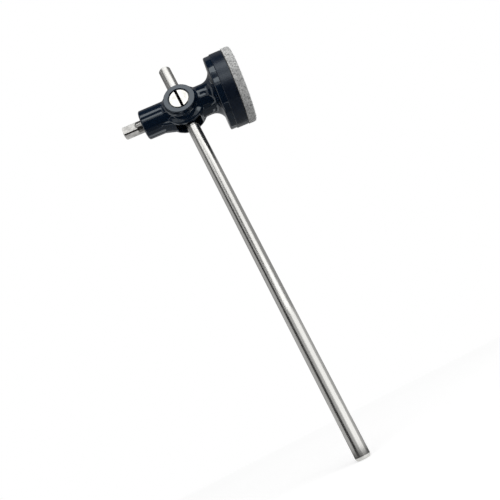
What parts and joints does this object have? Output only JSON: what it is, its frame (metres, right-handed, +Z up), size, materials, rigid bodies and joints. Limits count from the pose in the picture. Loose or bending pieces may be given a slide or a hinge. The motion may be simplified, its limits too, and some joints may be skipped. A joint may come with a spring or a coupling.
{
  "type": "bass drum beater",
  "caption": "Bass drum beater: a round steel shaft with a tilting, height-adjustable hub that clamps with a square-headed key screw and carries a felt striking disc.",
  "frame": {"origin": "middle of the flat lower end of the shaft", "axes": "+Z up along the shaft, +X towards the felt's striking face, +Y along the pivot barrel"},
  "size_m": [0.084, 0.0484, 0.2617],
  "materials": {
    "shaft_steel": "satin, ground along its length",
    "barrel_plate": "bright nickel plate",
    "hub_plastic": "blue-black gloss moulding",
    "insert_brass": "turned",
    "screw_plate": "nickel plate",
    "pad_brass": "turned",
    "cup_plastic": "satin black moulding",
    "cup_screw_steel": "zinc plate",
    "backing_board": "pressed fibreboard",
    "glue": "dried contact glue",
    "felt": "grey pressed felt"
  },
  "bodies": {
    "shaft": {"shaft": "shaft_steel"},
    "barrel": {"pivot_barrel": "barrel_plate"},
    "head": {"hub": "hub_plastic", "thread_insert": "insert_brass", "felt_cup": "cup_plastic", "cup_screw": "cup_screw_steel", "backing_disc": "backing_board", "adhesive_film": "glue", "felt_pad": "felt"},
    "pad": {"clamp_pad": "pad_brass"},
    "screw": {"clamp_screw": "screw_plate"}
  },
  "joints": [
    {"name": "head_height", "type": "slide", "parent": "shaft", "child": "barrel", "axis": [0, 0, 1], "range_m": [-0.15, 0.024]},
    {"name": "head_tilt", "type": "hinge", "parent": "barrel", "child": "head", "pos_m": [0, 0, 0.2277], "axis": [0, 1, 0], "range_deg": [-22.9, 13.1]},
    {"name": "clamp_travel", "type": "slide", "parent": "head", "child": "pad", "axis": [0.9963, 0, -0.0854], "range_m": [-0.0025, 0]},
    {"name": "clamp_turn", "type": "hinge", "parent": "pad", "child": "screw", "pos_m": [-0.01993, 0, 0.22941], "axis": [0.9963, 0, -0.0854], "range_deg": [-722, 2]}
  ],
  "couplings": [
    {"joint": "clamp_turn", "follows": "clamp_travel", "rad_per_m": 5026.5}
  ]
}
